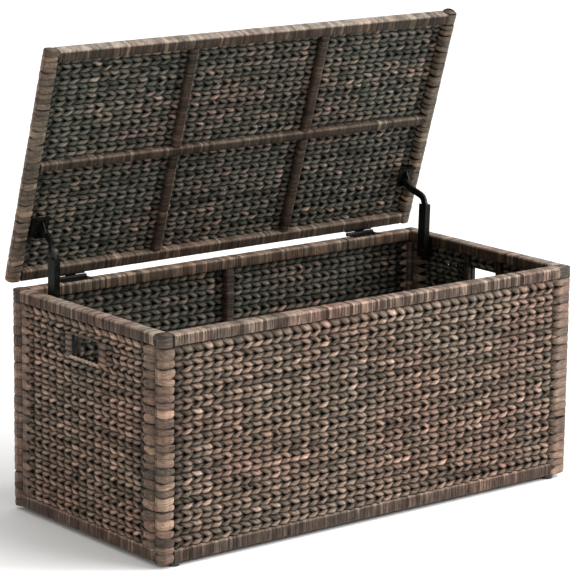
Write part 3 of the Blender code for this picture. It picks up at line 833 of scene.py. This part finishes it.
def rails(panel, axis, way, top_tone, ends, bright, bottom_tone):
    """The wrapped rails above and below one panel, with a painted highlight on their upper faces and painted shade
    on their inner faces.
    """
    ways = {"inner_way": (-way * 0.5, 0), "bright_way": (0, 1)}
    wrapped_node(f"{panel}_top_rail", axis, tone=top_tone, bright=bright, ends=ends, **ways)
    wrapped_node(f"{panel}_bottom_rail", axis, tone=bottom_tone, **ways)


# the third value is the strength of the painted highlight on the top rail
for side, outward, bright in (("front", -1, 1.15), ("back", 1, 0.75)):
    woven_panel(f"{side}_weave", (X, Z, Y), outward, "box", 3, ROW_PITCH, BORDER_ROW)
    rails(side, X, outward, (0.74, 0.22), (0.88, 0.95), bright, (0.54, 0.14))
    for end, way in (("left", -1), ("right", 1)):
        node = f"{side}_{end}_post"
        low, high = extent(node)
        if node == WIDE_POST:
            low[0] -= POST_OVER
        looped_bar(
            node, low, high, Z, "box", (0.58, 0.18), (-way, outward * 0.15),
            (-way * 0.5, -outward * 0.5), capped=CAP_WRAP, taper=0.5 if node == WIDE_POST else 0.62,
        )
    wrapped_node(f"{side}_centre_stile", Z, inner_way=(0, -outward))


SLOT_MARGIN = 0.0006  # the record's opening is this much smaller all round than the cut
JAMB = 0.020  # width of the wound jamb either side of a handle slot
JAMB_HALF = 0.0052  # half the thickness of the jambs
JAMB_STRIP = (0.0085, 0.0110)
JAMB_SWELL = 0.0022
JAMB_BEYOND = (0.004, 0.003)  # jambs reach this far past the slot's bottom and top
LINER = 0.0011  # bare strip lining the slot, painted near black as the shade inside the slot
LINER_CORNER = 0.0035
LIP_OFF = 0.0022  # middle of the lip, from the slot's edge
LIP_PAST = 0.006  # the lip reaches this far past the slot's ends
LIP_PLY = 0.0015  # radius of one ply
LIP_TURNS = 4
LIP_RINGS = 49


def slot_of(end):
    """Lowest and highest corner of a handle slot."""
    openings = frame["record"]["physics"]["openings"]
    low, high = next(o["box_m"] for o in openings if o["name"] == f"{end}_handle_slot")
    return np.array(low) - SLOT_MARGIN, np.array(high) + SLOT_MARGIN


def cord_rings(path, radius, sides=8):
    """Rings of a cord along an open and nearly level path."""
    ahead = np.gradient(path, axis=0)
    ahead /= np.linalg.norm(ahead, axis=1)[:, None]
    across = np.cross(ahead, (0.0, 0.0, 1.0))
    across /= np.linalg.norm(across, axis=1)[:, None]
    third = np.cross(across, ahead)
    turn = 2 * np.pi * np.arange(sides) / sides
    round_it = across[:, None] * np.cos(turn)[None, :, None]
    round_it = round_it + third[:, None] * np.sin(turn)[None, :, None]
    return path[:, None] + radius * round_it


def slot_edges(end, way):
    """Wound jambs, a bare liner and a two-ply lip round one handle slot."""
    low, high = slot_of(end)
    field_low, field_high = extent(f"{end}_weave")
    middle_x = abs(field_low[0] + field_high[0]) / 2
    outer = way * (middle_x + JAMB_HALF)
    xs = sorted((outer, way * (middle_x - JAMB_HALF)))
    for place, y_low, y_high, sign in (
        ("back", high[1] + 0.0004, high[1] + JAMB, 1),
        ("front", low[1] - JAMB, low[1] - 0.0004, -1),
    ):
        wrapped_bar(
            f"{end}_slot_{place}_jamb",
            np.array((xs[0], y_low, low[2] - JAMB_BEYOND[0])),
            np.array((xs[1], y_high, high[2] + JAMB_BEYOND[1])),
            Z, "box", coarse=True, look=POST, tone=(0.50, 0.14), inner_way=(-way, 0),
            proud=(way, sign * 0.4), strip=JAMB_STRIP, swell=JAMB_SWELL, slot_name="woven_hyacinth",
        )
    middle_y, middle_z = (low[1] + high[1]) / 2, (low[2] + high[2]) / 2
    half_y, half_z = (high[1] - low[1]) / 2, (high[2] - low[2]) / 2
    lip = Strands()
    # the lower lip gets more painted light than the upper one: a painted highlight on it
    for level, hue, lift in ((low[2] - LIP_OFF, 0.86, 1.5), (high[2] + LIP_OFF, 0.30, 0.8)):
        for ply in (0, 1):
            steps = np.linspace(0, 1, LIP_RINGS)
            turn = steps * math.tau * LIP_TURNS + ply * math.pi
            y = low[1] - LIP_PAST + (high[1] - low[1] + 2 * LIP_PAST) * steps
            x = outer + way * 0.0004 + 0.0012 * np.cos(turn)
            z = level + 0.0013 * np.sin(turn) + wander(LIP_RINGS, 0.0002, 8)
            rings = cord_rings(np.stack((x, y, z), 1), LIP_PLY)
            around = np.linspace(0, 0.009, 9)[None, :]
            tones = np.clip(DRAW.normal(hue, 0.08, LIP_RINGS - 1), 0.02, 0.98)
            lip.tube(rings, tones, lift, 0.0, (steps * 0.08)[:, None], around)
    lip.make(f"{end}_slot_lip", POST, "box")
    liner = Strands()
    outline, normals, around = rounded_outline(half_y + LINER, half_z + LINER, LINER_CORNER)
    outline, normals = (np.concatenate((part, part[:1])) for part in (outline, normals))
    rings = []
    for spot, normal in zip(outline, normals):
        inward = spot - normal * LINER
        sides = ((xs[0], spot), (xs[1], spot), (xs[1], inward), (xs[0], inward))
        rings.append([(x, side[0] + middle_y, side[1] + middle_z) for x, side in sides])
    # near black tone and low painted light: painted shade inside the slot
    hues = np.clip(DRAW.normal(0.03, 0.03, len(rings) - 1), 0, 1)
    across = np.linspace(0, 0.02, 5)[None, :]
    liner.tube(np.array(rings), hues, 0.15, 0.0, around[:, None], across)
    liner.make(f"{end}_slot_liner", POST, "box")


CORNER_BATTEN = 0.0115
CORNER_GAP = 0.0006  # the batten stands this far in from the post's faces
TOOTH_LENGTH = 0.0245
TOOTH_TALL = (0.012, 0.0175)
TOOTH_OUT = 0.0030  # how far its middle stands out
TOOTH_DEEP = 0.0022
TOOTH_RINGS = 9


def inner_corner(side, end):
    """A wound batten in an inside corner, and the tapered loops beside it on the long panel."""
    outward = -1 if side == "front" else 1
    way = -1 if end == "left" else 1
    low, high = extent(f"{side}_{end}_post")
    corner_x = low[0] if way > 0 else high[0]
    face_y = low[1] if outward > 0 else high[1]
    bottom, top = extent(f"{side}_bottom_rail")[1][2], extent(f"{side}_top_rail")[0][2]
    corner_y = face_y - outward * CORNER_GAP
    corner = np.array((corner_x - way * CORNER_GAP, corner_y, bottom + 0.0005))
    other = corner - np.array((way, outward, 0)) * CORNER_BATTEN
    other[2] = top - 0.0005
    wrapped_bar(
        f"{side}_{end}_corner_batten", np.minimum(corner, other), np.maximum(corner, other),
        Z, "box", tone=(0.55, 0.16),
    )
    strands = Strands()
    here = bottom + 0.002
    share = np.linspace(0, 1, TOOTH_RINGS)
    body = np.sqrt(np.clip(1.02 - share**2.2, 0, 1))
    while here < top - 0.010:
        tall = DRAW.uniform(*TOOTH_TALL)
        reach = TOOTH_LENGTH * DRAW.uniform(0.8, 1.15)
        rings = np.empty((TOOTH_RINGS, SIDES, 3))
        rings[..., 0] = (corner_x + way * 0.001 - way * share * reach)[:, None]
        rings[..., 1] = (face_y + outward * 0.002 - outward * TOOTH_OUT * body)[:, None]
        rings[..., 1] -= (outward * TOOTH_DEEP * body)[:, None] * np.sin(SECTION)
        rings[..., 2] = here + tall / 2 + (tall * 0.50 * body)[:, None] * np.cos(SECTION)
        # pale tone and painted light on the loops' outer sides, less towards their tips: painted light in the
        # shaded inside corner
        lift = (0.10 + 1.1 * np.clip(np.sin(SECTION), 0, 1))[None, :] * (1 - 0.4 * share)[:, None]
        hues = np.full(TOOTH_RINGS - 1, np.clip(DRAW.normal(0.80, 0.10), 0, 1))
        strands.tube(rings, hues, lift, 0.2, (share * reach + here)[:, None], AROUND * 0.03)
        here += tall
    strands.make(f"{side}_{end}_corner_loops", POST, "box")


for side in ("front", "back"):
    for end in ("left", "right"):
        inner_corner(side, end)

CUT_LAP = 0.002  # cut rows run this far into a jamb, and rows this close to the slot are cut

for end, way in (("left", -1), ("right", 1)):
    low, high = slot_of(end)
    opening = (low[1] - JAMB + CUT_LAP, high[1] + JAMB - CUT_LAP, low[2] - CUT_LAP, high[2] + CUT_LAP)
    woven_panel(
        f"{end}_weave", (Y, Z, X), way, "box", 2, END_ROW_PITCH, BORDER_ROW,
        opening, END_STITCH, STRAND_SWING * END_REACH,
    )
    slot_edges(end, way)
    # 1.6 is the strength of the painted highlight on the top rail
    rails(end, Y, way, (0.60, 0.15), (0.98, 0.80), 1.6, (0.68, 0.12))
    for place, sign in (("front", -1), ("back", 1)):
        node = f"{end}_{place}_stile"
        low, high = extent(node)
        low[1] -= STILE_OVER if sign > 0 else 0.0
        high[1] += STILE_OVER if sign < 0 else 0.0
        looped_bar(
            node, low, high, Z, "box", (0.50, 0.14), (way * 0.15, -sign), (-way * 0.2, 0),
            strip=STILE_STRIP, taper=0.32,
        )
        # dark tone on the slot's stiles: painted shade of the slot's inside
        wrapped_node(f"{end}_slot_{place}_stile", Z, tone=(0.24, 0.10), inner_way=(-way, 0))

# ---------------------------------------------------------------- the lid

woven_panel("lid_weave", (X, Y, Z), 1, "lid", 4, LID_ROW_PITCH, 0)
for end, way in (("left", -1), ("right", 1)):
    node = f"lid_{end}_rail"
    looped_bar(
        node, *extent(node, "lid"), Y, "lid", (0.64, 0.13), (-way, 0.15), (-way * 0.3, -0.5),
        strip=LID_STRIP, rise=LID_RISE,
    )
# the third value is the strength of the painted highlight on a rail's front face, which faces up with the lid open
for place, tone, bright in (("front", (0.52, 0.15), 2.6), ("back", (0.54, 0.15), 0.8)):
    wrapped_node(
        f"lid_{place}_rail", X, "lid", tone=tone, inner_way=(0, -0.5), bright_way=(-1, 0),
        bright=bright,
    )
battens = [("lid_middle_batten", X)]
for place in ("front", "back"):
    battens += [(f"lid_{place}_{end}_batten", Y) for end in ("left", "right")]
for node, axis in battens:
    # painted highlight: the middle batten's on its front face, the others' on their right faces, as lit from the
    # right
    bright_way = (-1, 0) if axis == X else (1, 0)
    wrapped_node(
        node, axis, "lid", tone=(0.42, 0.15), inner_way=(0, -0.5), bright_way=bright_way
    )

# ---------------------------------------------------------------- hardware

HINGE_SCREW = 0.0029  # radius of a head
STAY_SCREW = 0.0028
SCREW_SPREAD = (-0.022, 0.0, 0.022)
STAY_SPREAD = (-0.0085, 0.0085)
BOX_LEAF_TOP = -0.0003  # from the hinge pins
LEAF_SCREWS_IN = 0.008  # from the box leaf's edge
LID_SCREWS_OUT = 0.0016
SCREWS_DOWN = 0.0062  # from the top of the lid leaf or of the box bracket
BRACKET_PLATE = 0.0020  # thickness of a stay's box bracket
BRACKET_FACE = 0.0001  # underside of the lid brackets' plates, in the lid's own frame
NEAR_SCREWS = (0.0065, 0.0100, 0.0240)  # in from the lid bracket's inner side, then its front edge
FAR_SCREWS = (0.0110, 0.0100, 0.0270)  # in from its outer side, then its front edge
HEAD_RINGS = (  # share of the radius, and height
    (1.0, -0.30), (1.0, 0.05), (0.93, 0.24), (0.78, 0.38), (0.58, 0.47), (0.36, 0.52), (0.16, 0.54),
)
HEAD_SIDES = 24
CROSS_HALF = 0.13  # half width of the recess, then its reach and depth, as shares of the radius
CROSS_REACH = 0.6
CROSS_DEEP = 0.26


def screw_heads(name, spots, facing, radius, body):
    """Domed heads with a cross recess. facing is the way they point."""
    mesh = bpy.data.meshes.new(name)
    points, faces = [], []
    turn = Vector((0, 0, 1)).rotation_difference(Vector(facing)).to_matrix()
    sides = HEAD_SIDES
    for spot in spots:
        start = len(points)
        for share, height in HEAD_RINGS:
            for side in range(sides):
                angle = math.tau * side / sides
                x, y = share * math.cos(angle), share * math.sin(angle)
                in_cross = min(abs(x), abs(y)) < CROSS_HALF and share < CROSS_REACH
                up = height - (CROSS_DEEP if in_cross else 0.0)
                points.append(Vector(spot) + turn @ Vector((x, y, up)) * radius)
        points.append(Vector(spot) + turn @ Vector((0, 0, HEAD_RINGS[-1][1] - CROSS_DEEP)) * radius)
        points.append(Vector(spot) + turn @ Vector((0, 0, HEAD_RINGS[0][1])) * radius)
        for ring in range(len(HEAD_RINGS) - 1):
            for side in range(sides):
                after = (side + 1) % sides
                base, above = start + ring * sides, start + (ring + 1) * sides
                faces.append((base + side, base + after, above + after, above + side))
        top = start + (len(HEAD_RINGS) - 1) * sides
        middle = top + sides
        for side in range(sides):
            after = (side + 1) % sides
            faces.append((top + side, top + after, middle))
            faces.append((start + after, start + side, middle + 1))
    mesh.from_pydata(points, [], faces)
    mesh.polygons.foreach_set("use_smooth", [True] * len(faces))
    mesh.materials.append(STEEL)
    add_piece(name, mesh, body)


for end in ("left", "right"):
    low, high = extent(f"{end}_hinge_box_leaf")
    middle = (low[0] + high[0]) / 2
    screw_y, screw_z = low[1] + LEAF_SCREWS_IN, PIN[2] + BOX_LEAF_TOP
    spots = [(middle + across, screw_y, screw_z) for across in SCREW_SPREAD]
    screw_heads(f"{end}_hinge_box_screws", spots, (0, 0, 1), HINGE_SCREW, "box")
    low, high = extent(f"{end}_hinge_lid_leaf", "lid")
    screw_y, screw_z = low[1] + LID_SCREWS_OUT, high[2] - SCREWS_DOWN
    spots = [LID_FRAME @ Vector((middle + across, screw_y, screw_z)) for across in SCREW_SPREAD]
    facing = LID_FRAME.to_3x3() @ Vector((0, 1, 0))
    screw_heads(f"{end}_hinge_lid_screws", spots, facing, HINGE_SCREW, "lid")

    way = -1 if end == "left" else 1
    low, high = extent(f"{end}_stay_box_bracket")
    plate_x = (high[0] if way > 0 else low[0]) - way * BRACKET_PLATE
    middle_y = (low[1] + high[1]) / 2
    spots = [(plate_x, middle_y + across, high[2] - SCREWS_DOWN) for across in STAY_SPREAD]
    screw_heads(f"{end}_stay_box_screws", spots, (-way, 0, 0), STAY_SCREW, "box")
    low, high = extent(f"{end}_stay_lid_bracket", "lid")
    near_x = (low[0] if way > 0 else high[0]) + way * NEAR_SCREWS[0]
    far_x = (high[0] if way > 0 else low[0]) - way * FAR_SCREWS[0]
    flat = [(near_x, low[1] + along) for along in NEAR_SCREWS[1:]]
    flat += [(far_x, low[1] + along) for along in FAR_SCREWS[1:]]
    spots = [LID_FRAME @ Vector((x, y, BRACKET_FACE)) for x, y in flat]
    facing = LID_FRAME.to_3x3() @ Vector((0, 0, -1))
    screw_heads(f"{end}_stay_lid_screws", spots, facing, STAY_SCREW, "lid")

COATS = {"black_steel": STEEL, "foot_plastic": PLASTIC, "base_board": BOARD}
for node in frame["nodes"].values():
    for slot in node.material_slots:
        if slot.material and slot.material.name in COATS:
            slot.material = COATS[slot.material.name]

# ---------------------------------------------------------------- floor, light and camera

FLOOR_COLOUR = (0.93, 0.93, 0.925, 1)
SKY_COLOUR = (1.0, 0.995, 0.985, 1)
SKY_STRENGTH = 0.78
SOFTBOXES = (  # name, place, aim, width, height, watts and tint
    ("left_fill", (-3.4, -0.9, 0.9), (-0.3, 0, 0.25), 1.6, 1.2, 7, (1.0, 0.82, 0.66)),
    ("front_right", (3.3, -2.9, 1.9), (0, 0, 0.35), 1.1, 1.1, 150, (1, 1, 1)),
)


def floor():
    mesh = bpy.data.meshes.new("floor")
    reach = 30.0
    corners = [(-reach, -reach, 0), (reach, -reach, 0), (reach, reach, 0), (-reach, reach, 0)]
    mesh.from_pydata(corners, [], [(0, 1, 2, 3)])
    look = Look("pale_floor")
    look.shader.inputs["Base Color"].default_value = FLOOR_COLOUR
    look.shader.inputs["Roughness"].default_value = 0.8
    mesh.materials.append(look.material)
    new_object("floor", mesh)


def softbox(name, place, aim, width, height, watts, tint):
    lamp = bpy.data.lights.new(name, "AREA")
    lamp.shape = "RECTANGLE"
    lamp.size, lamp.size_y = width, height
    lamp.energy = watts
    lamp.color = tint
    made = new_object(name, lamp)
    made.location = place
    made.rotation_euler = (Vector(aim) - Vector(place)).to_track_quat("-Z", "Y").to_euler()


def sun(name, towards, strength, spread):
    """A broad, even key light, so that the floor is as bright far off as it is close by."""
    lamp = bpy.data.lights.new(name, "SUN")
    lamp.energy = strength
    lamp.angle = math.radians(spread)
    made = new_object(name, lamp)
    made.rotation_euler = Vector(towards).to_track_quat("Z", "Y").to_euler()


floor()
world = bpy.data.worlds.new("studio")
world.use_nodes = True
world.node_tree.nodes["Background"].inputs["Color"].default_value = SKY_COLOUR
world.node_tree.nodes["Background"].inputs["Strength"].default_value = SKY_STRENGTH
bpy.context.scene.world = world
for settings in SOFTBOXES:
    softbox(*settings)
sun("key", towards=(0.60, -0.52, 0.95), strength=2.4, spread=40)
bpy.context.scene.view_settings.view_transform = "Standard"

camera_data = bpy.data.cameras.new("camera")
camera_data.sensor_width = 36.0
camera_data.lens = CAMERA_LENS
camera = new_object("camera", camera_data)
azimuth, elevation = math.radians(CAMERA_AZIMUTH), math.radians(CAMERA_ELEVATION)
back = Vector(
    (
        math.sin(azimuth) * math.cos(elevation),
        -math.cos(azimuth) * math.cos(elevation),
        math.sin(elevation),
    )
)
level_right = (-back).cross(Vector((0, 0, 1))).normalized()
level_up = level_right.cross(-back)
roll = math.radians(CAMERA_ROLL)
right = level_right * math.cos(roll) + level_up * math.sin(roll)
up = level_up * math.cos(roll) - level_right * math.sin(roll)
camera.matrix_world = Matrix.Translation(
    right * AIM_ACROSS + up * AIM_UP + back * CAMERA_DISTANCE
) @ Matrix((right, up, back)).transposed().to_4x4()
camera_data.clip_end = 100.0
bpy.context.scene.camera = camera
